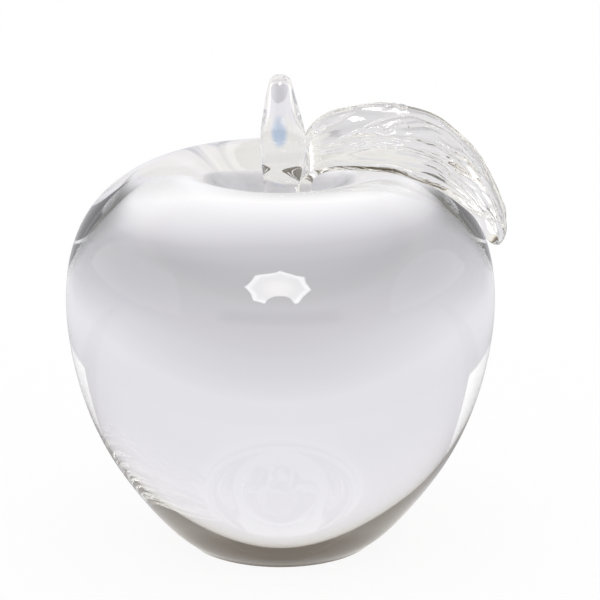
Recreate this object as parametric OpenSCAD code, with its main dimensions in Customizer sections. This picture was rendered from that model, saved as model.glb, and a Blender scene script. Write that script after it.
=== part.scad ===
// Solid glass apple: a hot-worked clear body with a fused stem and a pressed, fused leaf.
// Millimetres. +Z is up, the origin is the centre of the polished base, the leaf points along +X.

/* [Body] */
// Diameter of the body at its widest
body_d = 100; // [84:1:140]
// Height of the rounded crest that rings the dimple
body_h = 90.5; // [82:0.5:120]
// Height of the widest part of the body
widest_h = 58; // [50:0.5:64]
// Diameter of the ground and polished base
base_d = 46; // [36:1:60]
// Width of the bevel round the base
base_bevel = 0.8; // [0.3:0.1:2]
// Diameter of the crest round the dimple
crest_d = 50; // [46:1:58]
// Depth of the dimple below the crest
dimple_depth = 14; // [10:0.5:18]

/* [Stem] */
// Height of the stem above the floor of the dimple
stem_h = 35.3; // [30:0.5:50]
// Diameter of the stem's foot, where it is fused to the dimple
stem_foot_d = 8.8; // [8:0.2:11]
// Diameter of the stem at its neck
stem_neck_d = 8.4; // [6:0.2:9]
// Diameter of the stem at its bulb
stem_bulb_d = 10.6; // [8:0.2:12]
// Diameter just below the stem's rounded tip
stem_tip_d = 5.6; // [4:0.2:7]
// Sideways lean of the stem's bulb, towards the leaf
stem_lean = 0.7; // [0:0.1:1]

/* [Leaf] */
// How far the leaf's tip hangs below the crest
leaf_drop = 20; // [14:0.5:26]
// Reach of the leaf's front edge from the plane through the stem
leaf_front_w = 11; // [8:0.5:13]
// Height of the leaf's front edge over the body
front_lift = 1.7; // [1.5:0.1:3]
// How far the hollow of the blade lies in front of the plane through the stem
crown_side = 4.6; // [3:0.2:6]
// Height of the hollow of the blade over the body
crown_lift = 7.2; // [6:0.2:8.4]
// How far the leaf's back edge lies behind the plane through the stem
back_side = 1; // [0:0.1:1.4]
// Height of the leaf's back edge over the body
back_lift = 15; // [12:0.5:17]
// Thickness of the blade
leaf_t = 3; // [2.4:0.2:3.6]
// Thickness of the leaf's root beside the stem
root_t = 2.8; // [2.4:0.2:5]
// Reach of the leaf's root to each side
root_w = 3.8; // [2.6:0.1:5]
// Number of wavy veins pressed into the blade between its midrib and its fold
vein_count = 3; // [2:1:4]
// Height of the ribs between the veins
vein_h = 0.15; // [0.05:0.05:0.3]
// Number of lobes along the blade's edges
lobe_count = 7; // [5:1:9]
// Depth of the lobes in the blade's edges
lobe_depth = 0.3; // [0:0.1:0.6]

/* [Hidden] */

glass = [0.86, 0.9, 0.91, 0.45];
fuse_gap = 0.1;      // between the stem and the leaf's root
rest_gap = 0.3;      // between the leaf's underside and the body
seat_margin = 0.6;   // flat floor left outside the leaf's root

body_r = body_d / 2;
base_r = base_d / 2;
crest_r = crest_d / 2;
floor_z = body_h - dimple_depth;
root_x = stem_foot_d / 2 + fuse_gap + root_t / 2;
seat_r = root_x + root_t / 2 + seat_margin;

// One span of a uniform cubic B-spline.
function span_point(a, b, c, d, t) =
    (a * pow(1 - t, 3) + b * (3 * pow(t, 3) - 6 * pow(t, 2) + 4)
     + c * (-3 * pow(t, 3) + 3 * pow(t, 2) + 3 * t + 1) + d * pow(t, 3)) / 6;

// Adds a point before the first and after the last, so that a curve starts and ends on them.
function guided(points) =
    let (last = len(points) - 1)
    concat([2 * points[0] - points[1]], points, [2 * points[last] - points[last - 1]]);

// A point of the curve through guided points, for u from 0 to 1.
function curve_point(guides, u) =
    let (spans = len(guides) - 3, s = u * spans, i = min(floor(s), spans - 1))
    span_point(guides[i], guides[i + 1], guides[i + 2], guides[i + 3], s - i);

function curve(points, steps) =
    let (guides = guided(points), n = (len(points) - 1) * steps)
    [for (i = [0 : n]) curve_point(guides, i / n)];

function smooth(t) = let (c = min(max(t, 0), 1)) c * c * (3 - 2 * c);
function unit(v) = v / norm(v);

// Body: half outline from the base, over the crest and down to the dimple's floor.
skin_steps = 16;
skin = curve([
    [base_r, base_bevel],
    [base_r + 0.18 * (body_r - base_r), 0.075 * widest_h],
    [base_r + 0.73 * (body_r - base_r), 0.405 * widest_h],
    [0.9965 * body_r, 0.793 * widest_h],
    [1.014 * body_r, widest_h + 0.289 * (body_h - widest_h)],
    [crest_r + 0.752 * (body_r - crest_r), widest_h + 0.779 * (body_h - widest_h)],
    [crest_r + 0.064 * (body_r - crest_r), body_h + 0.06 * (body_h - widest_h)],
    [seat_r + 0.45 * (crest_r - seat_r), body_h - 0.17 * dimple_depth],
    [seat_r + 0.25 * (crest_r - seat_r), floor_z + 0.2 * dimple_depth],
    [seat_r + 0.15 * (crest_r - seat_r), floor_z],
    [seat_r, floor_z],
], skin_steps);
skin_z = [for (p = skin) p[1]];
crest_i = search(max(skin_z), skin_z)[0];
crest = skin[crest_i];

function skin_normal(i) = let (t = skin[i + 1] - skin[i - 1]) unit([t[1], -t[0]]);

module apple_body() {
    color(glass)
        rotate_extrude($fn = 180)
            polygon(concat([[0, 0], [base_r - base_bevel, 0]], skin, [[0, floor_z]]));
}

// A closed solid through rings of equal count, with a point in the middle of each end.
module ringed_solid(rings, first_middle, last_middle) {
    m = len(rings[0]);
    n = len(rings);
    sides = [for (i = [0 : n - 2], k = [0 : m - 1], half = [0, 1])
        let (a = i * m + k, b = i * m + (k + 1) % m)
        half == 0 ? [a, a + m, b] : [b, a + m, b + m]];
    first_end = [for (k = [0 : m - 1]) [k, (k + 1) % m, n * m]];
    last_end = [for (k = [0 : m - 1]) [(n - 1) * m + (k + 1) % m, (n - 1) * m + k, n * m + 1]];
    polyhedron(concat([for (r = rings) each r], [first_middle, last_middle]),
               concat(sides, first_end, last_end), convexity = 6);
}

// Stem: each row is a share of the stem's height and the radius there.
stem_guides = guided([
    [0, stem_foot_d / 2],
    [0.1, stem_foot_d / 2 - 0.3 * (stem_foot_d - stem_neck_d)],
    [0.28, stem_neck_d / 2],
    [0.45, stem_bulb_d / 2 * 0.98],
    [0.6, stem_bulb_d / 2 * 1.03],
    [0.78, (stem_bulb_d + stem_tip_d) / 4],
    [0.915, stem_tip_d / 2 * 1.06],
    [0.98, stem_tip_d / 2 * 0.9],
    [1.008, stem_tip_d / 2 * 0.42],
    [1, 0.02 * stem_tip_d],
]);
stem_sides = 40;
stem_rings = 44;
stem_line = [for (i = [0 : stem_rings]) curve_point(stem_guides, i / stem_rings)];

function stem_x(share) = stem_lean * pow(sin(180 * min(max(share, 0), 1)), 2);
function stem_radius(share) = lookup(min(max(share, 0), 0.98), stem_line);

module stem() {
    color(glass)
        ringed_solid(
            [for (p = stem_line) [for (k = [0 : stem_sides - 1])
                let (a = 360 * k / stem_sides)
                [stem_x(p[0]) + p[1] * cos(a), p[1] * sin(a), floor_z + stem_h * p[0]]]],
            [0, 0, floor_z],
            [0, 0, floor_z + stem_h]);
}

// Leaf: a station is [way, lift, side]. The way runs from the root, 0, level to the crest, 1, and down
// the shoulder to the tip, 2. The lift is measured square to that line, and side is along Y.
tip_z = body_h - leaf_drop;
tip_i = [for (i = [0 : crest_i - 1])
    if (skin_z[i] <= tip_z && skin_z[i + 1] > tip_z)
        i + (tip_z - skin_z[i]) / (skin_z[i + 1] - skin_z[i])][0];

function way_point(w) =
    w <= 1
    ? [root_x + w * (crest[0] - root_x), crest[1]]
    : let (s = crest_i - (w - 1) * (crest_i - tip_i), i = floor(s))
        skin[i] + (s - i) * (skin[i + 1] - skin[i]);
function way_normal(w) =
    w <= 1
    ? [0, 1]
    : let (s = crest_i - (w - 1) * (crest_i - tip_i), i = floor(s))
        unit(skin_normal(i) + (s - i) * (skin_normal(i + 1) - skin_normal(i)));
function station(row) =
    let (p = way_point(row[0]) + row[1] * way_normal(row[0]))
    [sqrt(pow(p[0], 2) - pow(row[2], 2)), row[2], p[1]];

// Root stations of a rail: straight up from the floor of the dimple.
foot_lift = floor_z - crest[1];
function root_rows(side) = [[0, foot_lift, side], [0, 0.65 * foot_lift, side]];

front_rail = guided([for (row = concat(root_rows(-root_w), [
    [0, 0.38 * foot_lift, -root_w],
    [0.11, front_lift - 2.7, -0.4 * leaf_front_w],
    [0.39, front_lift - 0.7, -0.6 * leaf_front_w],
    [0.77, front_lift, -0.86 * leaf_front_w],
    [1.1, front_lift, -leaf_front_w],
    [1.3, front_lift, -1.02 * leaf_front_w],
    [1.5, front_lift, -0.92 * leaf_front_w],
    [1.67, front_lift, -0.76 * leaf_front_w],
    [1.81, front_lift, -0.58 * leaf_front_w],
    [1.9, front_lift, -0.54 * leaf_front_w],
    [1.95, front_lift, -0.56 * leaf_front_w],
])) station(row)]);
crown_rail = guided([for (row = concat(root_rows(0), [
    [0, 0.15 * foot_lift, 0],
    [0.05, 0.3 * crown_lift, -0.4 * crown_side],
    [0.25, 0.72 * crown_lift, -0.7 * crown_side],
    [0.65, 0.97 * crown_lift, -0.9 * crown_side],
    [1.02, 1.03 * crown_lift, -crown_side],
    [1.19, 1.04 * crown_lift, -crown_side],
    [1.37, 0.98 * crown_lift, -0.95 * crown_side],
    [1.54, 0.83 * crown_lift, -0.8 * crown_side],
    [1.71, 0.64 * crown_lift, -0.6 * crown_side],
    [1.87, 0.44 * crown_lift, -0.4 * crown_side],
    [1.97, 0.36 * crown_lift, -0.5 * crown_side],
])) station(row)]);
back_rail = guided([for (row = concat(root_rows(root_w), [
    [0, 0.1 * foot_lift, root_w],
    [0.05, 0.62 * back_lift, 2.5 * back_side],
    [0.36, 0.93 * back_lift, 0.9 * back_side],
    [0.8, back_lift, back_side],
    [1.09, back_lift, back_side],
    [1.25, 0.93 * back_lift, back_side],
    [1.41, 0.8 * back_lift, back_side],
    [1.57, 0.62 * back_lift, back_side],
    [1.72, 0.48 * back_lift, back_side],
    [1.87, 0.37 * back_lift, back_side],
    [1.96, 0.34 * back_lift, back_side],
])) station(row)]);

// The blade spreads from the root between these shares of its length, and rounds off after the last.
spread_start = 0.2;
spread_end = 0.38;
round_start = 0.88;
rim_w = 0.16;        // width of the rounded rim, where the whole blade is from -1 to 1
rings_along = 82;
tip_rings = 12;
leaf_sides = 56;

function spread(u) = smooth((u - spread_start) / (spread_end - spread_start));
function round_off(u) = sqrt(max(1 - pow(max(u - round_start, 0) / (1 - round_start), 2), 0.02));

// Relief pressed into the top of the blade: a midrib, a long fold above it, and wavy veins round the fold.
// The first two give a place across the blade, from -1 at the front edge to 1 at the back edge.
function midrib_v(u) = -0.2 + 0.4 * smooth((0.36 - u) / 0.12) + 0.55 * smooth((u - 0.67) / 0.22);
function fold_v(u) = 0.02 + 0.7 * smooth((u - 0.34) / 0.2);
function groove(across, width) = exp(-pow(across / width, 2));
function vein_place(u, v) = (v - midrib_v(u)) / max(fold_v(u) - midrib_v(u), 0.1);
function vein_drift(u, q) =
    0.45 * sin(360 * (2.3 * u + 0.5 * q)) + 0.3 * sin(360 * (5.1 * u - 0.8 * q + 0.3));
function vein_zone(u, v) =
    let (start = 0.36 + 0.16 * smooth((v - fold_v(u)) / 0.1))
    smooth((u - start) / 0.1) * smooth((v - midrib_v(u)) / 0.08) * smooth((0.92 - v) / 0.1);
function relief(u, v) =
    let (q = vein_place(u, v),
         waves = 0.5 * cos(360 * (vein_count * q + vein_drift(u, q))) * vein_zone(u, v),
         midrib = groove(v - midrib_v(u), 0.06) * smooth((u - 0.29) / 0.05),
         fold = 0.7 * groove(v - fold_v(u), 0.06) * smooth((u - 0.33) / 0.04))
    waves - midrib - fold;
function lobe_wave(u) = pow(sin(180 * lobe_count * u), 2);

// Middle surface of the leaf, for u from root to tip and v from the front edge, -1, to the back edge, 1.
function sheet(u, v) =
    let (front = curve_point(front_rail, u), crown = curve_point(crown_rail, u),
         back = curve_point(back_rail, u), e = v * round_off(u))
    crown + e * (back - front) / 2 + pow(e, 2) * ((front + back) / 2 - crown);

// Moves a point out until it clears the body, and then the stem.
function off_body(p) =
    let (r = norm([p[0], p[1]]), d = [for (s = skin) norm(s - [r, p[2]])],
         i = min(max(search(min(d), d)[0], 1), len(skin) - 2), n = skin_normal(i),
         short = rest_gap - ([r, p[2]] - skin[i]) * n,
         q = [r, p[2]] + max(short, 0) * n)
    p[2] < floor_z + rest_gap || short <= 0 ? p : [p[0] * q[0] / r, p[1] * q[0] / r, q[1]];
function off_stem(p) =
    let (share = (p[2] - floor_z) / stem_h, x = stem_x(share), r = norm([p[0] - x, p[1]]),
         clear = stem_radius(share) + fuse_gap)
    r >= clear ? p : [x + (p[0] - x) * clear / r, p[1] * clear / r, p[2]];

function leaf_point(u, a) =
    let (v = -cos(a), step = 0.001,
         along = sheet(min(u + step, 1), v) - sheet(max(u - step, 0), v),
         across = sheet(u, min(v + step, 1)) - sheet(u, max(v - step, -1)),
         n = unit(cross(along, across)),
         side = unit(across),
         live = spread(u) * round_off(u),
         half_t = (root_t + (leaf_t - root_t) * spread(u)) / 2 * round_off(u),
         rim = sqrt(1 - pow(max(abs(v) - 1 + rim_w, 0) / rim_w, 2)),
         wave = sin(a) > 0 ? vein_h * relief(u, v) * live : 0,
         lobe = -lobe_depth * lobe_wave(u) * pow(v, 5) * live)
    off_stem(off_body(sheet(u, v) + (half_t * rim * sign(sin(a)) + wave) * n + lobe * side));

leaf_u = concat([for (i = [0 : rings_along]) round_start * i / rings_along],
                [for (i = [1 : tip_rings]) round_start + (1 - round_start) * sin(90 * i / tip_rings)]);

module leaf() {
    color(glass)
        ringed_solid([for (u = leaf_u) [for (k = [0 : leaf_sides - 1]) leaf_point(u, 360 * k / leaf_sides)]],
                     sheet(0, 0), sheet(1, 0));
}

apple_body();
stem();
leaf();
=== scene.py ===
# Clear glass apple: body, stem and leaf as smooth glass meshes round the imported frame.
# The part's own sizes are in millimetres here, as on its drawing, and every mesh is written in metres.
import math

import bpy
import numpy as np
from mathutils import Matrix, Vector


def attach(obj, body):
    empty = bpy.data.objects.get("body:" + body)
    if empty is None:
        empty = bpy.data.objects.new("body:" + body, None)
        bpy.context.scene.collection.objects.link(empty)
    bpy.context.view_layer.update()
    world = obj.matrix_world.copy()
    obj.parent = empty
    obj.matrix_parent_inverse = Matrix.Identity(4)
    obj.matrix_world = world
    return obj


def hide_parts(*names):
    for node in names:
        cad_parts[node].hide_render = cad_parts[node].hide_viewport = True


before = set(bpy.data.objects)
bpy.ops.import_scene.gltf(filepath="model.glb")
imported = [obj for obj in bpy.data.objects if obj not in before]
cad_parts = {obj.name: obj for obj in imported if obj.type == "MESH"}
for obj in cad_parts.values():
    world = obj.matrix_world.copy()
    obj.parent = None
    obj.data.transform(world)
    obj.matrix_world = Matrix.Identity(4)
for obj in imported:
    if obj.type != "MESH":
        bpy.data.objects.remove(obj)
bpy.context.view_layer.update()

MM = 0.001
# A hair under full size, so that the smooth curves stay inside the faceted solids.
MESH_MM = 0.9994 * MM

# Body sizes
BODY_R = 50.0
BODY_H = 90.5
WIDEST_H = 58.0
BASE_R = 23.0
BASE_BEVEL = 0.8
CREST_R = 25.0
DIMPLE_DEPTH = 14.0
FLOOR_Z = BODY_H - DIMPLE_DEPTH

# Stem sizes
STEM_H = 35.3
STEM_FOOT_D = 8.8
STEM_NECK_D = 8.4
STEM_BULB_D = 10.6
STEM_TIP_D = 5.6
STEM_LEAN = 0.7

# Leaf sizes
LEAF_DROP = 20.0
LEAF_FRONT_W = 11.0
FRONT_LIFT = 1.7
CROWN_SIDE = 4.6
CROWN_LIFT = 7.2
BACK_SIDE = 1.0
BACK_LIFT = 15.0
LEAF_T = 3.0
ROOT_T = 2.8
ROOT_W = 3.8
VEIN_COUNT = 3
VEIN_H = 0.15
LOBE_COUNT = 7
LOBE_DEPTH = 0.3

FUSE_GAP = 0.1
REST_GAP = 0.3
SEAT_MARGIN = 0.6
ROOT_X = STEM_FOOT_D / 2 + FUSE_GAP + ROOT_T / 2
SEAT_R = ROOT_X + ROOT_T / 2 + SEAT_MARGIN


def guided(points):
    """Adds a point before the first and after the last, so that a curve starts and ends on them."""
    p = np.array(points, float)
    return np.vstack([2 * p[0] - p[1], p, 2 * p[-1] - p[-2]])


def curve_point(guides, u):
    """Points of a uniform cubic B-spline for an array u from 0 to 1."""
    spans = len(guides) - 3
    s = np.asarray(u, float) * spans
    i = np.minimum(np.floor(s).astype(int), spans - 1)
    t = (s - i)[..., None]
    weights = ((1 - t) ** 3, 3 * t**3 - 6 * t**2 + 4, -3 * t**3 + 3 * t**2 + 3 * t + 1, t**3)
    return sum(guides[i + k] * weight for k, weight in enumerate(weights)) / 6


def smooth(t):
    """A smooth step from 0 at t = 0 to 1 at t = 1."""
    c = np.clip(t, 0, 1)
    return c * c * (3 - 2 * c)


def unit(v):
    return v / np.linalg.norm(v, axis=-1, keepdims=True)


def wave(turns):
    """Sine of an angle given in turns."""
    return np.sin(2 * np.pi * turns)


# Body outline: each row is a radius and a height, from the base's bevel to the dimple's floor.
SKIN_STEPS = 16
SKIN_GUIDES = guided([
    (BASE_R, BASE_BEVEL),
    (BASE_R + 0.18 * (BODY_R - BASE_R), 0.075 * WIDEST_H),
    (BASE_R + 0.73 * (BODY_R - BASE_R), 0.405 * WIDEST_H),
    (0.9965 * BODY_R, 0.793 * WIDEST_H),
    (1.014 * BODY_R, WIDEST_H + 0.289 * (BODY_H - WIDEST_H)),
    (CREST_R + 0.752 * (BODY_R - CREST_R), WIDEST_H + 0.779 * (BODY_H - WIDEST_H)),
    (CREST_R + 0.064 * (BODY_R - CREST_R), BODY_H + 0.06 * (BODY_H - WIDEST_H)),
    (SEAT_R + 0.45 * (CREST_R - SEAT_R), BODY_H - 0.17 * DIMPLE_DEPTH),
    (SEAT_R + 0.25 * (CREST_R - SEAT_R), FLOOR_Z + 0.2 * DIMPLE_DEPTH),
    (SEAT_R + 0.15 * (CREST_R - SEAT_R), FLOOR_Z),
    (SEAT_R, FLOOR_Z),
])


def skin_points(steps):
    """Points of the body's outline, with a number of steps in each of its spans."""
    n = (len(SKIN_GUIDES) - 3) * steps
    return curve_point(SKIN_GUIDES, np.arange(n + 1) / n)


SKIN = skin_points(SKIN_STEPS)
CREST_I = int(np.argmax(SKIN[:, 1]))
CREST = SKIN[CREST_I]
SKIN_NORMAL = np.zeros_like(SKIN)
SKIN_NORMAL[1:-1] = unit(np.stack([SKIN[2:, 1] - SKIN[:-2, 1], SKIN[:-2, 0] - SKIN[2:, 0]], 1))
SKIN_NORMAL[0], SKIN_NORMAL[-1] = SKIN_NORMAL[1], SKIN_NORMAL[-2]

# Stem shape: each row is a share of the stem's height and the radius there.
STEM_GUIDES = guided([
    (0, STEM_FOOT_D / 2),
    (0.1, STEM_FOOT_D / 2 - 0.3 * (STEM_FOOT_D - STEM_NECK_D)),
    (0.28, STEM_NECK_D / 2),
    (0.45, STEM_BULB_D / 2 * 0.98),
    (0.6, STEM_BULB_D / 2 * 1.03),
    (0.78, (STEM_BULB_D + STEM_TIP_D) / 4),
    (0.915, STEM_TIP_D / 2 * 1.06),
    (0.98, STEM_TIP_D / 2 * 0.9),
    (1.008, STEM_TIP_D / 2 * 0.42),
    (1, 0.02 * STEM_TIP_D),
])
STEM_LINE_STEPS = 400
STEM_SIDE_END = 0.98
STEM_LINE = curve_point(STEM_GUIDES, np.arange(STEM_LINE_STEPS + 1) / STEM_LINE_STEPS)


def stem_x(share):
    """How far the stem leans along X at a share of its height."""
    return STEM_LEAN * np.sin(np.pi * np.clip(share, 0, 1)) ** 2


def stem_radius(share):
    climb = STEM_LINE[:, 0] <= STEM_SIDE_END
    return np.interp(np.clip(share, 0, STEM_SIDE_END), STEM_LINE[climb, 0], STEM_LINE[climb, 1])


# Leaf rails: a station is (way, lift, side). The way runs from 0 at the root over 1 at the crest to 2
# at the tip, and the lift stands off the body.
TIP_Z = BODY_H - LEAF_DROP
BELOW_TIP = next(i for i in range(CREST_I) if SKIN[i, 1] <= TIP_Z < SKIN[i + 1, 1])
TIP_I = BELOW_TIP + (TIP_Z - SKIN[BELOW_TIP, 1]) / (SKIN[BELOW_TIP + 1, 1] - SKIN[BELOW_TIP, 1])
FOOT_LIFT = FLOOR_Z - CREST[1]


def station(way, lift, side):
    """The point (x, y, z) of a station."""
    if way <= 1:
        p = np.array([ROOT_X + way * (CREST[0] - ROOT_X), CREST[1]])
        n = np.array([0.0, 1.0])
    else:
        s = CREST_I - (way - 1) * (CREST_I - TIP_I)
        i = int(s)
        p = SKIN[i] + (s - i) * (SKIN[i + 1] - SKIN[i])
        n = unit(SKIN_NORMAL[i] + (s - i) * (SKIN_NORMAL[i + 1] - SKIN_NORMAL[i]))
    p = p + lift * n
    return math.sqrt(p[0] ** 2 - side**2), side, p[1]


def rail(side, rows):
    """Guides of a rail, whose first two stations climb straight up from the root."""
    root = [(0, FOOT_LIFT, side), (0, 0.65 * FOOT_LIFT, side)]
    return guided([station(*row) for row in root + rows])


FRONT_RAIL = rail(-ROOT_W, [
    (0, 0.38 * FOOT_LIFT, -ROOT_W),
    (0.11, FRONT_LIFT - 2.7, -0.4 * LEAF_FRONT_W),
    (0.39, FRONT_LIFT - 0.7, -0.6 * LEAF_FRONT_W),
    (0.77, FRONT_LIFT, -0.86 * LEAF_FRONT_W),
    (1.1, FRONT_LIFT, -LEAF_FRONT_W),
    (1.3, FRONT_LIFT, -1.02 * LEAF_FRONT_W),
    (1.5, FRONT_LIFT, -0.92 * LEAF_FRONT_W),
    (1.67, FRONT_LIFT, -0.76 * LEAF_FRONT_W),
    (1.81, FRONT_LIFT, -0.58 * LEAF_FRONT_W),
    (1.9, FRONT_LIFT, -0.54 * LEAF_FRONT_W),
    (1.95, FRONT_LIFT, -0.56 * LEAF_FRONT_W),
])
CROWN_RAIL = rail(0, [
    (0, 0.15 * FOOT_LIFT, 0),
    (0.05, 0.3 * CROWN_LIFT, -0.4 * CROWN_SIDE),
    (0.25, 0.72 * CROWN_LIFT, -0.7 * CROWN_SIDE),
    (0.65, 0.97 * CROWN_LIFT, -0.9 * CROWN_SIDE),
    (1.02, 1.03 * CROWN_LIFT, -CROWN_SIDE),
    (1.19, 1.04 * CROWN_LIFT, -CROWN_SIDE),
    (1.37, 0.98 * CROWN_LIFT, -0.95 * CROWN_SIDE),
    (1.54, 0.83 * CROWN_LIFT, -0.8 * CROWN_SIDE),
    (1.71, 0.64 * CROWN_LIFT, -0.6 * CROWN_SIDE),
    (1.87, 0.44 * CROWN_LIFT, -0.4 * CROWN_SIDE),
    (1.97, 0.36 * CROWN_LIFT, -0.5 * CROWN_SIDE),
])
BACK_RAIL = rail(ROOT_W, [
    (0, 0.1 * FOOT_LIFT, ROOT_W),
    (0.05, 0.62 * BACK_LIFT, 2.5 * BACK_SIDE),
    (0.36, 0.93 * BACK_LIFT, 0.9 * BACK_SIDE),
    (0.8, BACK_LIFT, BACK_SIDE),
    (1.09, BACK_LIFT, BACK_SIDE),
    (1.25, 0.93 * BACK_LIFT, BACK_SIDE),
    (1.41, 0.8 * BACK_LIFT, BACK_SIDE),
    (1.57, 0.62 * BACK_LIFT, BACK_SIDE),
    (1.72, 0.48 * BACK_LIFT, BACK_SIDE),
    (1.87, 0.37 * BACK_LIFT, BACK_SIDE),
    (1.96, 0.34 * BACK_LIFT, BACK_SIDE),
])

# The blade spreads out from its root, is rounded off at its tip, and has a round rim.
SPREAD_START = 0.2
SPREAD_END = 0.38
ROUND_START = 0.88
ROUND_LEAST = 0.02
RIM_W = 0.16


def spread(u):
    return smooth((u - SPREAD_START) / (SPREAD_END - SPREAD_START))


def round_off(u):
    past = np.maximum(u - ROUND_START, 0) / (1 - ROUND_START)
    return np.sqrt(np.maximum(1 - past**2, ROUND_LEAST))


def midrib_v(u):
    """Place of the midrib across the blade, from -1 at the front edge to 1 at the back edge."""
    return -0.2 + 0.4 * smooth((0.36 - u) / 0.12) + 0.55 * smooth((u - 0.67) / 0.22)


def fold_v(u):
    """Place of the long fold above the midrib."""
    return 0.02 + 0.7 * smooth((u - 0.34) / 0.2)


def groove(across, width):
    """A smooth groove's depth, 1 in its middle."""
    return np.exp(-((across / width) ** 2))


def vein_place(u, v):
    """Place between the midrib, 0, and the fold, 1."""
    return (v - midrib_v(u)) / np.maximum(fold_v(u) - midrib_v(u), 0.1)


def vein_drift(u, q):
    """How far the wavy veins wander sideways."""
    return 0.45 * wave(2.3 * u + 0.5 * q) + 0.3 * wave(5.1 * u - 0.8 * q + 0.3)


def vein_zone(u, v):
    """Where the wavy veins are: above the midrib, and past the fold only on the outer half."""
    start = 0.36 + 0.16 * smooth((v - fold_v(u)) / 0.1)
    return smooth((u - start) / 0.1) * smooth((v - midrib_v(u)) / 0.08) * smooth((0.92 - v) / 0.1)


def relief(u, v):
    """Height of the pressed relief, as a share of the veins' height."""
    q = vein_place(u, v)
    waves = 0.5 * np.cos(2 * np.pi * (VEIN_COUNT * q + vein_drift(u, q))) * vein_zone(u, v)
    midrib = groove(v - midrib_v(u), 0.06) * smooth((u - 0.29) / 0.05)
    fold = 0.7 * groove(v - fold_v(u), 0.06) * smooth((u - 0.33) / 0.04)
    return waves - midrib - fold


def lobe_wave(u):
    return np.sin(np.pi * LOBE_COUNT * u) ** 2


# Fine relief of the blade's outer face, finer than the part's solid carries. Heights and depths are
# in millimetres. The widths of creases and stripes are shares of their spacing, and the other places
# and widths are shares of the blade's length or of half its breadth. All of it fades out at its end.
CREASE_COUNT = 5
CREASE_DEPTH = 0.34
CREASE_W = 0.28
LINE_DEPTH = 0.4
MIDRIB_LINE_W = 0.028
SIDE_LINE_W = 0.024
SIDE_LINE_V = 0.09
FOLD_LINE_W = 0.035
LINE_WOBBLE = 0.015
STRIPE_COUNT = 9
STRIPE_DEPTH = 0.18
STRIPE_W = 0.24
PATCH_U = 0.8
PATCH_V = -0.25
PATCH_RISE = 1.5
PEBBLE_H = 0.5
PEBBLE_LEAST = 0.3
FINE_END = 0.97
FINE_FADE = 0.1
# Each oval: place along and across the blade, reach both ways, depth of its groove, and slant.
OVALS = (
    (0.25, 0.7, 0.035, 0.16, 0.6, -2.5),
    (0.335, 0.74, 0.045, 0.14, 0.6, 2.2),
)
OVAL_W = 0.22
# Each bead: place along and across the blade, reach both ways, height, and slant.
BEADS = (
    (0.462, 0.88, 0.014, 0.12, 1.3, 4),
    (0.488, 0.9, 0.014, 0.1, 1.3, -3),
    (0.45, 0.25, 0.04, 0.1, 0.3, -1),
    (0.5, 0.44, 0.009, 0.04, 0.7, 3),
    (0.514, 0.42, 0.007, 0.035, 0.7, 3),
    (0.535, 0.4, 0.007, 0.035, 0.7, 3),
    (0.62, 0.3, 0.025, 0.07, 0.2, -3),
    (0.7, 0.62, 0.02, 0.08, 0.2, -2),
    (0.66, -0.35, 0.02, 0.08, 0.15, 1),
    (0.9, -0.7, 0.02, 0.1, 0.4, 1),
    (0.87, 0.2, 0.012, 0.1, 0.3, 2),
)
BEAD_SIDE = 0.35


def creases(u, v):
    """Thin creases between the veins, broken up in places."""
    q = vein_place(u, v)
    s = CREASE_COUNT * q + 1.4 * vein_drift(u, q) + 0.12 * wave(11.3 * u + 1.7 * q)
    line = np.round(s)
    shown = smooth(0.6 + 0.9 * wave(3.7 * u + 0.37 * line))
    return groove(s - line, CREASE_W) * shown * vein_zone(u, v)


def rib_lines(u, v):
    """Two thin lines along the midrib and one along the fold."""
    wobble = LINE_WOBBLE * wave(6 * u)
    from_rib = v - midrib_v(u)
    first = groove(from_rib - wobble, MIDRIB_LINE_W)
    second = groove(from_rib + SIDE_LINE_V + wobble, SIDE_LINE_W)
    fold = groove(v - fold_v(u), FOLD_LINE_W) * smooth((u - 0.33) / 0.04)
    return (first + second) * smooth((u - 0.29) / 0.05) + fold


def stripe_field(u, v, count, drift, phase):
    """Short thin stripes along the blade, broken up in places."""
    s = count * v + drift * wave(3.1 * u + 0.4 * v + phase) + 0.3 * wave(8.3 * u - v)
    line = np.round(s)
    shown = smooth(0.2 + 1.2 * wave(7.3 * u + 0.38 * line + phase))
    return groove(s - line, STRIPE_W) * shown


def stripes(u, v):
    """Stripes on the outer half of the blade, deepest in a patch by the tip."""
    outer = smooth((u - 0.52) / 0.14) * smooth((0.95 - np.abs(v)) / 0.1)
    patch = 1 + PATCH_RISE * groove(u - PATCH_U, 0.035) * groove(v - PATCH_V, 0.35)
    dense = stripe_field(u, v, STRIPE_COUNT, 0.9, 0.1)
    sparse = stripe_field(u, v, 0.7 * STRIPE_COUNT, -1.3, 0.6)
    return (dense + 0.7 * sparse) * outer * patch


def pebbles(u, v):
    """Shallow bumps and hollows, strongest where the veins are."""
    along = wave(4.2 * u + 0.6 * v + 0.2 * wave(1.3 * v))
    across = wave(1.4 * v - 1.3 * u + 0.3 * wave(2.7 * u))
    strength = PEBBLE_LEAST + (1 - PEBBLE_LEAST) * vein_zone(u, v)
    return along * across * strength * smooth((0.97 - np.abs(v)) / 0.12)


def fine_relief(u, v):
    cut = CREASE_DEPTH * creases(u, v) + LINE_DEPTH * rib_lines(u, v) + STRIPE_DEPTH * stripes(u, v)
    return PEBBLE_H * pebbles(u, v) - cut


def oval_distance(u, v, middle_u, middle_v, reach_u, reach_v, slant):
    """Distance from a slanted oval's middle, 1 on its outline."""
    across = (v - middle_v - slant * (u - middle_u)) / reach_v
    return np.hypot((u - middle_u) / reach_u, across)


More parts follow.
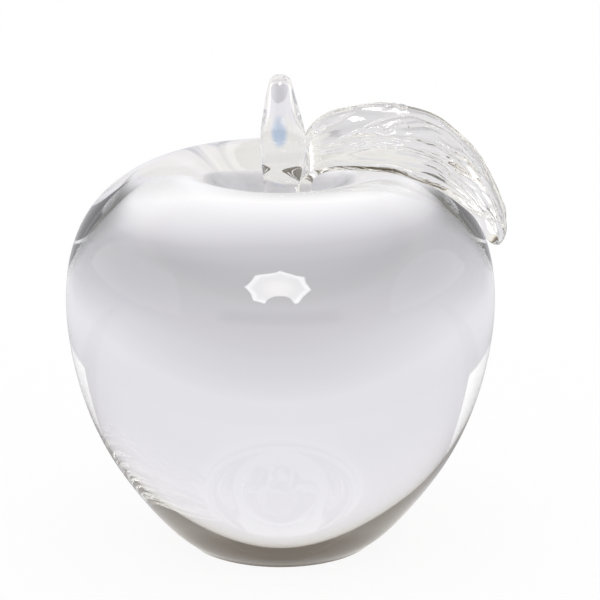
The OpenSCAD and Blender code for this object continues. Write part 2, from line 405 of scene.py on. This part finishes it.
def spot_relief(u, v):
    """Thin grooves round the ovals by the back edge, and small raised beads with steep sides."""
    h = np.zeros(np.broadcast(u, v).shape)
    for *place, depth, slant in OVALS:
        h = h - depth * groove(oval_distance(u, v, *place, slant) - 1, OVAL_W)
    for *place, rise, slant in BEADS:
        h = h + rise * smooth((1 - oval_distance(u, v, *place, slant)) / BEAD_SIDE)
    return h


def sheet(u, v):
    """Middle of the leaf: u runs from root to tip, and v from -1 at the front edge to 1 at the back."""
    front, crown, back = (curve_point(r, u) for r in (FRONT_RAIL, CROWN_RAIL, BACK_RAIL))
    e = (v * round_off(u))[..., None]
    return crown + e * (back - front) / 2 + e**2 * ((front + back) / 2 - crown)


def off_body(p):
    """Moves points that come too near the body out to the rest gap."""
    r = np.hypot(p[..., 0], p[..., 1])
    q = np.stack([r, p[..., 2]], -1)
    nearest = np.zeros(r.shape, int)
    best = np.full(r.shape, np.inf)
    for i in range(1, len(SKIN) - 1):
        d = np.hypot(q[..., 0] - SKIN[i, 0], q[..., 1] - SKIN[i, 1])
        nearest = np.where(d < best, i, nearest)
        best = np.minimum(d, best)
    n = SKIN_NORMAL[nearest]
    short = REST_GAP - ((q - SKIN[nearest]) * n).sum(-1)
    short = np.where(p[..., 2] < FLOOR_Z + REST_GAP, 0, np.maximum(short, 0))
    q = q + short[..., None] * n
    return np.stack([p[..., 0] * q[..., 0] / r, p[..., 1] * q[..., 0] / r, q[..., 1]], -1)


def off_stem(p):
    """Moves points that come too near the stem out to the fused gap."""
    share = (p[..., 2] - FLOOR_Z) / STEM_H
    x = stem_x(share)
    r = np.hypot(p[..., 0] - x, p[..., 1])
    push = np.maximum((stem_radius(share) + FUSE_GAP) / r, 1)
    return np.stack([x + (p[..., 0] - x) * push, p[..., 1] * push, p[..., 2]], -1)


NORMAL_STEP = 0.001


def leaf_points(u, a):
    """Points of the leaf's skin: a is the angle round the blade's section, from its front edge."""
    v = -np.cos(a)
    along = sheet(np.minimum(u + NORMAL_STEP, 1), v) - sheet(np.maximum(u - NORMAL_STEP, 0), v)
    across = sheet(u, np.minimum(v + NORMAL_STEP, 1)) - sheet(u, np.maximum(v - NORMAL_STEP, -1))
    n = unit(np.cross(along, across))
    side = unit(across)
    live = spread(u) * round_off(u)
    half_t = (ROOT_T + (LEAF_T - ROOT_T) * spread(u)) / 2 * round_off(u)
    rim = np.sqrt(1 - np.clip((np.abs(v) - 1 + RIM_W) / RIM_W, 0, 1) ** 2)
    fine = fine_relief(u, v) * live + spot_relief(u, v) * rim
    wavy = VEIN_H * relief(u, v) * live + fine * smooth((FINE_END - u) / FINE_FADE)
    s = np.sin(a)
    rise = half_t * rim * np.sign(s) + np.where(s > 0, wavy, 0)
    lobe = -LOBE_DEPTH * lobe_wave(u) * v**5 * live
    return off_stem(off_body(sheet(u, v) + rise[..., None] * n + lobe[..., None] * side))


def ringed_mesh(name, rings, first_middle, last_middle):
    """A closed mesh through rings of points, (rings, points, 3), with a middle for each end."""
    n, m = rings.shape[:2]
    points = np.vstack([rings.reshape(-1, 3), first_middle, last_middle])
    k = np.arange(m)
    k2 = (k + 1) % m
    faces = []
    for i in range(n - 1):
        a, b = i * m, (i + 1) * m
        faces += np.stack([a + k, a + k2, b + k2, b + k], 1).tolist()
    last = (n - 1) * m
    faces += [(j2, j, n * m) for j, j2 in zip(k.tolist(), k2.tolist())]
    faces += [(last + j, last + j2, n * m + 1) for j, j2 in zip(k.tolist(), k2.tolist())]
    mesh = bpy.data.meshes.new(name)
    mesh.from_pydata((points * MESH_MM).tolist(), [], faces)
    mesh.update()
    obj = bpy.data.objects.new(name, mesh)
    bpy.context.scene.collection.objects.link(obj)
    return obj


def turned_rings(profile, segments, centre_x):
    """Rings of a turned shape from (radius, height) rows, each ring shifted along X by centre_x."""
    a = 2 * np.pi * np.arange(segments) / segments
    r, z = profile[:, 0:1], profile[:, 1:2]
    return np.stack([centre_x[:, None] + r * np.cos(a), r * np.sin(a), z + 0 * a], -1)


SHARP_ANGLE = math.radians(40)


def finish_mesh(obj, materials):
    for m in materials:
        obj.data.materials.append(m)
    obj.data.shade_smooth()
    obj.data.set_sharp_from_angle(angle=SHARP_ANGLE)


def fuse_foot(obj, segments):
    """Gives the fan of faces inside a mesh's first ring the seam material."""
    for f in obj.data.polygons[-2 * segments:-segments]:
        f.material_index = 1


def inside(points, outline):
    """True for each (x, y) point inside a closed outline."""
    x, y = points[:, 0], points[:, 1]
    hit = np.zeros(len(points), bool)
    for (x1, y1), (x2, y2) in zip(outline, np.roll(outline, -1, axis=0)):
        cross = (y1 > y) != (y2 > y)
        at = x1 + (y - y1) * (x2 - x1) / (y2 - y1 + 1e-12)
        hit ^= cross & (x < at)
    return hit


# Materials

GLASS_IOR = 1.52


def node_material(name):
    m = bpy.data.materials.new(name)
    m.use_nodes = True
    return m, m.node_tree.nodes, m.node_tree.links


def glass_material(name, tint, wave_size, wave_depth):
    """Clear glass with a faint tint and the slow waviness of a fire-polished surface."""
    m, nodes, links = node_material(name)
    p = nodes["Principled BSDF"]
    p.inputs["Base Color"].default_value = (*tint, 1)
    p.inputs["Roughness"].default_value = 0.0
    p.inputs["IOR"].default_value = GLASS_IOR
    p.inputs["Transmission Weight"].default_value = 1.0
    place = nodes.new("ShaderNodeTexCoord")
    noise = nodes.new("ShaderNodeTexNoise")
    noise.inputs["Scale"].default_value = 1 / (wave_size * MM)
    noise.inputs["Detail"].default_value = 1.0
    bump = nodes.new("ShaderNodeBump")
    bump.inputs["Strength"].default_value = 1.0
    bump.inputs["Distance"].default_value = wave_depth * MM
    links.new(place.outputs["Object"], noise.inputs["Vector"])
    links.new(noise.outputs["Fac"], bump.inputs["Height"])
    links.new(bump.outputs["Normal"], p.inputs["Normal"])
    return m


def seam_material():
    """Where two bits of glass are fused there is no surface left, so light goes straight through."""
    m, nodes, links = node_material("fused_seam")
    nodes.remove(nodes["Principled BSDF"])
    clear = nodes.new("ShaderNodeBsdfTransparent")
    links.new(clear.outputs[0], nodes["Material Output"].inputs["Surface"])
    return m


BODY_GLASS = glass_material("body_glass", tint=(0.985, 0.983, 0.99), wave_size=14.0, wave_depth=0.006)
STEM_GLASS = glass_material("stem_glass", tint=(0.99, 0.99, 0.99), wave_size=4.0, wave_depth=0.02)
LEAF_GLASS = glass_material("leaf_glass", tint=(1.0, 0.995, 0.965), wave_size=3.0, wave_depth=0.03)
SEAM = seam_material()

# Pieces

BODY_SEGMENTS = 384
BODY_STEPS = 30
STEM_SEGMENTS = 128
STEM_STEPS = 180
LEAF_SEGMENTS = 320
LEAF_STEPS = 521
LEAF_TIP_STEPS = 40
SEAM_STEP = 0.06
SEAM_GAP = 0.02


def build_leaf():
    to_tip = ROUND_START * np.arange(LEAF_STEPS) / LEAF_STEPS
    turn = np.pi / 2 * np.arange(LEAF_TIP_STEPS + 1) / LEAF_TIP_STEPS
    us = np.concatenate([to_tip, ROUND_START + (1 - ROUND_START) * np.sin(turn)])
    angles = 2 * np.pi * np.arange(LEAF_SEGMENTS) / LEAF_SEGMENTS
    rings = leaf_points(us[:, None] + 0 * angles, 0 * us[:, None] + angles)
    rings[0, :, 2] = FLOOR_Z + SEAM_GAP
    obj = ringed_mesh("leaf_glass_piece", rings[:, ::-1], rings[0].mean(0), rings[-1].mean(0))
    finish_mesh(obj, [LEAF_GLASS, SEAM])
    fuse_foot(obj, LEAF_SEGMENTS)
    return obj, rings[0, :, :2]


def build_stem():
    shape = curve_point(STEM_GUIDES, np.arange(STEM_STEPS + 1) / STEM_STEPS)
    profile = np.stack([shape[:, 1], FLOOR_Z + STEM_H * shape[:, 0]], 1)
    profile[0, 1] += SEAM_GAP
    rings = turned_rings(profile, STEM_SEGMENTS, stem_x(shape[:, 0]))
    obj = ringed_mesh("stem_glass_piece", rings, (0, 0, profile[0, 1]), (0, 0, profile[-1, 1]))
    finish_mesh(obj, [STEM_GLASS, SEAM])
    fuse_foot(obj, STEM_SEGMENTS)
    return obj


def build_body(leaf_foot):
    """The body, with the seam material where the leaf and the stem stand on the dimple's floor."""
    skin = skin_points(BODY_STEPS)
    stem_foot = STEM_FOOT_D / 2
    seat = np.linspace(SEAT_R, stem_foot, int((SEAT_R - stem_foot) / SEAM_STEP) + 1)[1:]
    base = np.array([(BASE_R - BASE_BEVEL, 0.0)])
    seat_rows = np.stack([seat, np.full(len(seat), FLOOR_Z)], 1)
    profile = np.vstack([base, skin, seat_rows])
    rings = turned_rings(profile, BODY_SEGMENTS, np.zeros(len(profile)))
    obj = ringed_mesh("body_glass_piece", rings, (0, 0, 0), (0, 0, FLOOR_Z))
    finish_mesh(obj, [BODY_GLASS, SEAM])
    polygons = obj.data.polygons
    seat_start = len(skin) * BODY_SEGMENTS
    seat_end = (len(profile) - 1) * BODY_SEGMENTS
    centres = np.array([polygons[i].center for i in range(seat_start, seat_end)]) / MESH_MM
    for i in np.nonzero(inside(centres[:, :2], leaf_foot))[0]:
        polygons[seat_start + int(i)].material_index = 1
    for f in polygons[-BODY_SEGMENTS:]:
        f.material_index = 1
    return obj


leaf_piece, leaf_foot = build_leaf()
stem_piece = build_stem()
body_piece = build_body(leaf_foot)
for piece, node, slot in (
    (body_piece, "apple_body", "body_glass"),
    (stem_piece, "stem", "stem_glass"),
    (leaf_piece, "leaf", "leaf_glass"),
):
    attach(piece, "root")
    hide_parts(node)

# Camera, set as the photograph's: the picture is 600 pixels square.

PHOTO_PX = 600
CAMERA_ELEVATION = math.radians(18)
CAMERA_DISTANCE = 0.75
FOCAL_PX = 3195
SENSOR_MM = 36
FITTED_AIM = Vector((0, 0, 0.045))
FITTED_AIM_PX = (280.5, 353.3)
CLIP_START = 0.01

view_forward = Vector((0, math.cos(CAMERA_ELEVATION), -math.sin(CAMERA_ELEVATION)))
view_up = Vector((0, math.sin(CAMERA_ELEVATION), math.cos(CAMERA_ELEVATION)))
view_right = Vector((1, 0, 0))
middle = (view_forward
          + view_right * (PHOTO_PX / 2 - FITTED_AIM_PX[0]) / FOCAL_PX
          + view_up * (FITTED_AIM_PX[1] - PHOTO_PX / 2) / FOCAL_PX)
camera = bpy.data.objects.new("camera", bpy.data.cameras.new("camera"))
bpy.context.scene.collection.objects.link(camera)
camera.location = FITTED_AIM - view_forward * CAMERA_DISTANCE
camera.rotation_euler = middle.to_track_quat("-Z", "Y").to_euler()
camera.data.sensor_width = SENSOR_MM
camera.data.lens = FOCAL_PX / PHOTO_PX * SENSOR_MM
camera.data.clip_start = CLIP_START
bpy.context.scene.camera = camera

# Stage

FLOOR_DROP = 0.00005
FLOOR_R = 3.0
FLOOR_SIDES = 96
FLOOR_GLOW = 0.9
FLOOR_WHITE = (0.98, 0.98, 0.98, 1.0)

# The table as the glass shows it: for each distance from its middle, in millimetres, its colour.
# It is the table's plain pale tone under the glass and far out, with a painted caustic, a bright ring
# at about 70 mm, and the glass's painted shadow, darkest at about 125 mm and fading out by 500 mm.
# Sideways distances count for more, so each colour is a narrow oval round the glass.
TABLE_REACH = 500
TABLE_MIDDLE_X = 6
TABLE_ASIDE = 2.55
TABLE_PAINTED_SHADOW_AND_CAUSTIC = (
    (0, (0.86, 0.85, 0.81)),
    (18, (0.82, 0.815, 0.79)),
    (45, (0.80, 0.80, 0.79)),
    (70, (1.06, 1.05, 1.06)),
    (88, (0.85, 0.84, 0.87)),
    (107, (0.61, 0.60, 0.63)),
    (124, (0.54, 0.535, 0.56)),
    (155, (0.55, 0.545, 0.57)),
    (200, (0.595, 0.585, 0.62)),
    (260, (0.67, 0.665, 0.70)),
    (350, (0.73, 0.725, 0.76)),
    (500, (0.79, 0.785, 0.825)),
)

# The studio above the table: for each height over the horizon, in degrees, its colour. It is a pale
# room with a dark ceiling, whose edge is lower on the camera's side.
CEILING_TILT = math.radians(15)
STUDIO_LIGHT = (
    (-90, (0.79, 0.785, 0.825)),
    (-8, (0.80, 0.795, 0.835)),
    (2, (0.84, 0.83, 0.875)),
    (16, (0.88, 0.87, 0.90)),
    (27, (0.91, 0.89, 0.86)),
    (32, (0.84, 0.80, 0.73)),
    (37, (0.42, 0.37, 0.30)),
    (43, (0.18, 0.155, 0.125)),
    (50, (0.12, 0.10, 0.075)),
    (62, (0.15, 0.13, 0.10)),
    (68, (0.08, 0.055, 0.03)),
    (90, (0.05, 0.03, 0.01)),
)


def fill(links, sockets, values):
    """Links or sets a node's sockets, one for each value."""
    for socket, value in zip(sockets, values):
        if isinstance(value, bpy.types.NodeSocket):
            links.new(value, socket)
        else:
            socket.default_value = value


def math_node(nodes, links, operation, *values):
    node = nodes.new("ShaderNodeMath")
    node.operation = operation
    fill(links, node.inputs, values)
    return node.outputs[0]


def vector_node(nodes, links, operation, output, *values):
    node = nodes.new("ShaderNodeVectorMath")
    node.operation = operation
    fill(links, node.inputs, values)
    return node.outputs[output]


def product(nodes, links, *factors):
    total = factors[0]
    for factor in factors[1:]:
        total = math_node(nodes, links, "MULTIPLY", total, factor)
    return total


def colour_ramp(nodes, rows, low, high):
    """A colour ramp through (value, colour) rows, for values between low and high."""
    ramp = nodes.new("ShaderNodeValToRGB")
    elements = ramp.color_ramp.elements
    elements.remove(elements[-1])
    for k, (value, colour) in enumerate(rows):
        e = elements[0] if k == 0 else elements.new(1.0)
        e.position = (value - low) / (high - low)
        e.color = (*colour, 1)
    return ramp


def through_glass(nodes, links):
    """The Light Path node, and 1 for glossy and transmission rays."""
    path = nodes.new("ShaderNodeLightPath")
    glossy, through = path.outputs["Is Glossy Ray"], path.outputs["Is Transmission Ray"]
    return path, math_node(nodes, links, "MAXIMUM", glossy, through)


def mix_colour(nodes, links, factor, first, second):
    mix = nodes.new("ShaderNodeMix")
    mix.data_type = "RGBA"
    fill(links, (mix.inputs["Factor"], mix.inputs["A"], mix.inputs["B"]), (factor, first, second))
    return mix.outputs["Result"]


def fade(nodes, links, value, start, end):
    """A smooth step from 0 at start to 1 at end."""
    node = nodes.new("ShaderNodeMapRange")
    node.interpolation_type = "SMOOTHSTEP"
    links.new(value, node.inputs["Value"])
    node.inputs["From Min"].default_value = start
    node.inputs["From Max"].default_value = end
    return node.outputs["Result"]


def oval_length(nodes, links, place, middle, reach):
    """Distance from a middle on the table, as a share of a reach along X and Y."""
    offset = vector_node(nodes, links, "SUBTRACT", "Vector", place, (*middle, 0))
    share = vector_node(nodes, links, "DIVIDE", "Vector", offset, (*reach, 1))
    return vector_node(nodes, links, "LENGTH", "Value", share)


WHITE = (1.0, 1.0, 1.0, 1.0)

# White panels to the right and left of the glass. All the places in the studio are shares of the
# direction's length: how far aside the panels start, and where their lower and upper ends fade.
PANEL_RIGHT = (0.855, 0.865)
PANEL_LEFT = (0.80, 0.81)
PANEL_FOOT = (0.03, 0.05)
PANEL_TOP = (0.55, 0.45)
PANEL_LIGHT = (1.3, 1.3, 1.3, 1.0)

# The dark gap over the table's front edge, on the camera's side.
GAP_TOWARDS = (0.80, 0.88)
GAP_FOOT = (0.02, 0.11)
GAP_TOP = (0.27, 0.15)
GAP_COLOUR = (0.045, 0.055, 0.047, 1.0)

# A pale cloth overhead, seen only as its reflection on the outside of the glass.
OVERHEAD_HEIGHT = (0.6, 0.9)
OVERHEAD_LIGHT = (0.8, 0.8, 0.8, 1.0)

# On the table, in millimetres: the shade beside the glass, the warm front, and a small blue dot
# under the glass, which the stem shows.
SHADE_ASIDE = (16, 32)
SHADE_START = (25, 40)
SHADE_END = (84, 66)
SHADE_COLOUR = (0.22, 0.22, 0.225, 1.0)
SHADE_STRENGTH = 0.4
FRONT_REACH = (-25, 20)
FRONT_COLOUR = (0.90, 0.88, 0.85, 1.0)
DOT_MIDDLE = (0.9, 4.6)
DOT_REACH = (2.9, 4.2)
DOT_FADE = (1.3, 0.5)
DOT_COLOUR = (0.44, 0.56, 0.74, 1.0)


def build_floor():
    bpy.ops.mesh.primitive_circle_add(
        vertices=FLOOR_SIDES, radius=FLOOR_R, fill_type="NGON", location=(0, 0, -FLOOR_DROP))
    floor = bpy.context.object
    floor.name = "floor"
    m, nodes, links = node_material("floor_white")
    nodes.remove(nodes["Principled BSDF"])
    in_mm = nodes.new("ShaderNodeVectorMath")
    in_mm.operation = "SCALE"
    links.new(nodes.new("ShaderNodeNewGeometry").outputs["Position"], in_mm.inputs[0])
    in_mm.inputs["Scale"].default_value = 1 / MM
    place = in_mm.outputs[0]
    # The table's colour for glass rays: the painted shadow and caustic ring round the glass, then the
    # painted shade beside it, the warm front and the blue dot.
    reach = oval_length(nodes, links, place, (TABLE_MIDDLE_X, 0), (1 / TABLE_ASIDE, 1))
    ramp = colour_ramp(nodes, TABLE_PAINTED_SHADOW_AND_CAUSTIC, 0, TABLE_REACH)
    links.new(math_node(nodes, links, "DIVIDE", reach, TABLE_REACH), ramp.inputs["Fac"])
    axes = nodes.new("ShaderNodeSeparateXYZ")
    links.new(place, axes.inputs[0])
    x, y = axes.outputs["X"], axes.outputs["Y"]
    aside = math_node(nodes, links, "ABSOLUTE", x)
    shade = product(nodes, links, fade(nodes, links, aside, *SHADE_ASIDE),
                    fade(nodes, links, y, *SHADE_START), fade(nodes, links, y, *SHADE_END), SHADE_STRENGTH)
    table = mix_colour(nodes, links, shade, ramp.outputs["Color"], SHADE_COLOUR)
    towards = math_node(nodes, links, "MULTIPLY", y, -1)
    table = mix_colour(nodes, links, fade(nodes, links, towards, *FRONT_REACH), table, FRONT_COLOUR)
    from_dot = oval_length(nodes, links, place, DOT_MIDDLE, DOT_REACH)
    table = mix_colour(nodes, links, fade(nodes, links, from_dot, *DOT_FADE), table, DOT_COLOUR)
    path, glass_sees = through_glass(nodes, links)
    diffuse = nodes.new("ShaderNodeBsdfDiffuse")
    diffuse.inputs["Color"].default_value = FLOOR_WHITE
    glow = nodes.new("ShaderNodeEmission")
    links.new(mix_colour(nodes, links, glass_sees, WHITE, table), glow.inputs["Color"])
    mix = nodes.new("ShaderNodeMixShader")
    camera_share = math_node(nodes, links, "MULTIPLY", path.outputs["Is Camera Ray"], FLOOR_GLOW)
    links.new(math_node(nodes, links, "MAXIMUM", camera_share, glass_sees), mix.inputs["Fac"])
    links.new(diffuse.outputs[0], mix.inputs[1])
    links.new(glow.outputs[0], mix.inputs[2])
    links.new(mix.outputs[0], nodes["Material Output"].inputs["Surface"])
    floor.data.materials.append(m)


def build_world():
    world = bpy.data.worlds.new("studio")
    bpy.context.scene.world = world
    world.use_nodes = True
    nodes, links = world.node_tree.nodes, world.node_tree.links
    direction = nodes.new("ShaderNodeTexCoord").outputs["Generated"]
    ceiling_up = (0, -math.sin(CEILING_TILT), math.cos(CEILING_TILT))
    height = vector_node(nodes, links, "DOT_PRODUCT", "Value", direction, ceiling_up)
    angle = math_node(nodes, links, "ARCSINE", height)
    share = math_node(nodes, links, "MULTIPLY", angle, 1 / math.pi)
    ramp = colour_ramp(nodes, STUDIO_LIGHT, -90, 90)
    links.new(math_node(nodes, links, "ADD", share, 0.5), ramp.inputs["Fac"])
    axes = nodes.new("ShaderNodeSeparateXYZ")
    links.new(direction, axes.inputs[0])
    x, y, z = (axes.outputs[axis] for axis in "XYZ")
    leftward = math_node(nodes, links, "MULTIPLY", x, -1)
    aside = math_node(nodes, links, "MAXIMUM", fade(nodes, links, x, *PANEL_RIGHT),
                      fade(nodes, links, leftward, *PANEL_LEFT))
    panel = product(nodes, links, aside,
                    fade(nodes, links, z, *PANEL_FOOT), fade(nodes, links, z, *PANEL_TOP))
    studio = mix_colour(nodes, links, panel, ramp.outputs["Color"], PANEL_LIGHT)
    towards = math_node(nodes, links, "MULTIPLY", y, -1)
    gap = product(nodes, links, fade(nodes, links, towards, *GAP_TOWARDS),
                  fade(nodes, links, z, *GAP_FOOT), fade(nodes, links, z, *GAP_TOP))
    studio = mix_colour(nodes, links, gap, studio, GAP_COLOUR)
    path, glass_sees = through_glass(nodes, links)
    glossy, through = path.outputs["Is Glossy Ray"], path.outputs["Is Transmission Ray"]
    reflected = math_node(nodes, links, "SUBTRACT", glossy, through)
    overhead = product(nodes, links, fade(nodes, links, z, *OVERHEAD_HEIGHT),
                       math_node(nodes, links, "MAXIMUM", reflected, 0.0))
    studio = mix_colour(nodes, links, overhead, studio, OVERHEAD_LIGHT)
    links.new(mix_colour(nodes, links, glass_sees, WHITE, studio), nodes["Background"].inputs["Color"])


build_floor()
build_world()

# An eight-sided lamp in front of the glass, seen only as its reflection: a bright rim round a cloth
# that is brightest in the middle. The camera's own round lens hood hides a bite of its lower edge.
SOFTBOX_DISTANCE = 0.9
SOFTBOX_TOWARDS = Vector((-0.022, -0.841, 0.541))
SOFTBOX_SEEN_FROM = Vector((0, -0.047, 0.075))
SOFTBOX_R = 0.28
SOFTBOX_TURN = math.radians(-4)
SOFTBOX_BOW = 0.06
SIDE_STEPS = 24
BITE_R = 0.122
BITE_DROP = 0.232
BITE_SIDE = 0.015
BITE_STEPS = 40
RIM_COLOUR = (1, 0.995, 0.985)
RIM_STRENGTH = 9.6
CLOTH_R = 0.225
CLOTH_AHEAD = 0.004
# The cloth's colours, by distance from its middle as a share of its radius.
CLOTH_LIGHT = (
    (0, (1.0, 0.985, 0.93)),
    (0.35, (0.93, 0.91, 0.86)),
    (0.7, (0.76, 0.75, 0.72)),
    (1, (0.73, 0.725, 0.71)),
)
CLOTH_STRENGTH = 9.6


def from_bite(x, y):
    """Distance from the middle of the bite."""
    return math.hypot(x - BITE_SIDE, y + BITE_DROP)


def bite_angle(x, y):
    return math.atan2(y + BITE_DROP, x - BITE_SIDE) % (2 * math.pi)


def lamp_outline(radius):
    """The lamp's eight sides, bowed inwards a little, with the bite taken out."""
    corners = [(radius * math.cos(SOFTBOX_TURN + k * math.pi / 4),
                radius * math.sin(SOFTBOX_TURN + k * math.pi / 4)) for k in range(8)]
    outline = []
    for (x1, y1), (x2, y2) in zip(corners, corners[1:] + corners[:1]):
        for k in range(SIDE_STEPS):
            t = k / SIDE_STEPS
            pull = 1 - SOFTBOX_BOW * 4 * t * (1 - t)
            outline.append((pull * (x1 + (x2 - x1) * t), pull * (y1 + (y2 - y1) * t)))
    clear = [from_bite(x, y) > BITE_R for x, y in outline]
    start = next(i for i in range(len(outline)) if clear[i] and not clear[i - 1])
    outline = outline[start:] + outline[:start]
    kept = [(x, y) for x, y in outline if from_bite(x, y) > BITE_R]
    first, last = bite_angle(*kept[-1]), bite_angle(*kept[0])
    if last > first:
        first += 2 * math.pi
    arc = [first + (last - first) * k / BITE_STEPS for k in range(BITE_STEPS + 1)]
    return kept + [(BITE_SIDE + BITE_R * math.cos(t), -BITE_DROP + BITE_R * math.sin(t)) for t in arc]


def build_lamp(name, radius, distance, colours, strength):
    """One face of the lamp, coloured from its middle outwards."""
    towards = SOFTBOX_TOWARDS.normalized()
    right = Vector((0, 0, 1)).cross(towards).normalized()
    up = towards.cross(right)
    middle = SOFTBOX_SEEN_FROM + towards * distance
    points = [tuple(middle + right * x + up * y) for x, y in lamp_outline(radius)]
    mesh = bpy.data.meshes.new(name)
    mesh.from_pydata(points, [], [list(range(len(points)))])
    lamp = bpy.data.objects.new(name, mesh)
    bpy.context.scene.collection.objects.link(lamp)
    m, nodes, links = node_material(name + "_light")
    nodes.remove(nodes["Principled BSDF"])
    place = nodes.new("ShaderNodeNewGeometry").outputs["Position"]
    away = vector_node(nodes, links, "DISTANCE", "Value", place, middle)
    ramp = colour_ramp(nodes, colours, 0, 1)
    links.new(math_node(nodes, links, "DIVIDE", away, radius), ramp.inputs["Fac"])
    glow = nodes.new("ShaderNodeEmission")
    links.new(ramp.outputs["Color"], glow.inputs["Color"])
    glow.inputs["Strength"].default_value = strength
    links.new(glow.outputs[0], nodes["Material Output"].inputs["Surface"])
    mesh.materials.append(m)
    lamp.visible_camera = False
    lamp.visible_diffuse = False
    lamp.visible_transmission = False
    lamp.visible_shadow = False


build_lamp("softbox", SOFTBOX_R, SOFTBOX_DISTANCE, ((0, RIM_COLOUR), (1, RIM_COLOUR)), RIM_STRENGTH)
build_lamp("softbox_cloth", CLOTH_R, SOFTBOX_DISTANCE - CLOTH_AHEAD, CLOTH_LIGHT, CLOTH_STRENGTH)

# Light passes many surfaces in the glass, and goes through the fused seams again and again.
GLASS_BOUNCES = 24
GLOSSY_BOUNCES = 12
SEAM_PASSES = 96

scene = bpy.context.scene
scene.view_settings.view_transform = "Standard"
scene.cycles.max_bounces = GLASS_BOUNCES
scene.cycles.transmission_bounces = GLASS_BOUNCES
scene.cycles.glossy_bounces = GLOSSY_BOUNCES
scene.cycles.transparent_max_bounces = SEAM_PASSES
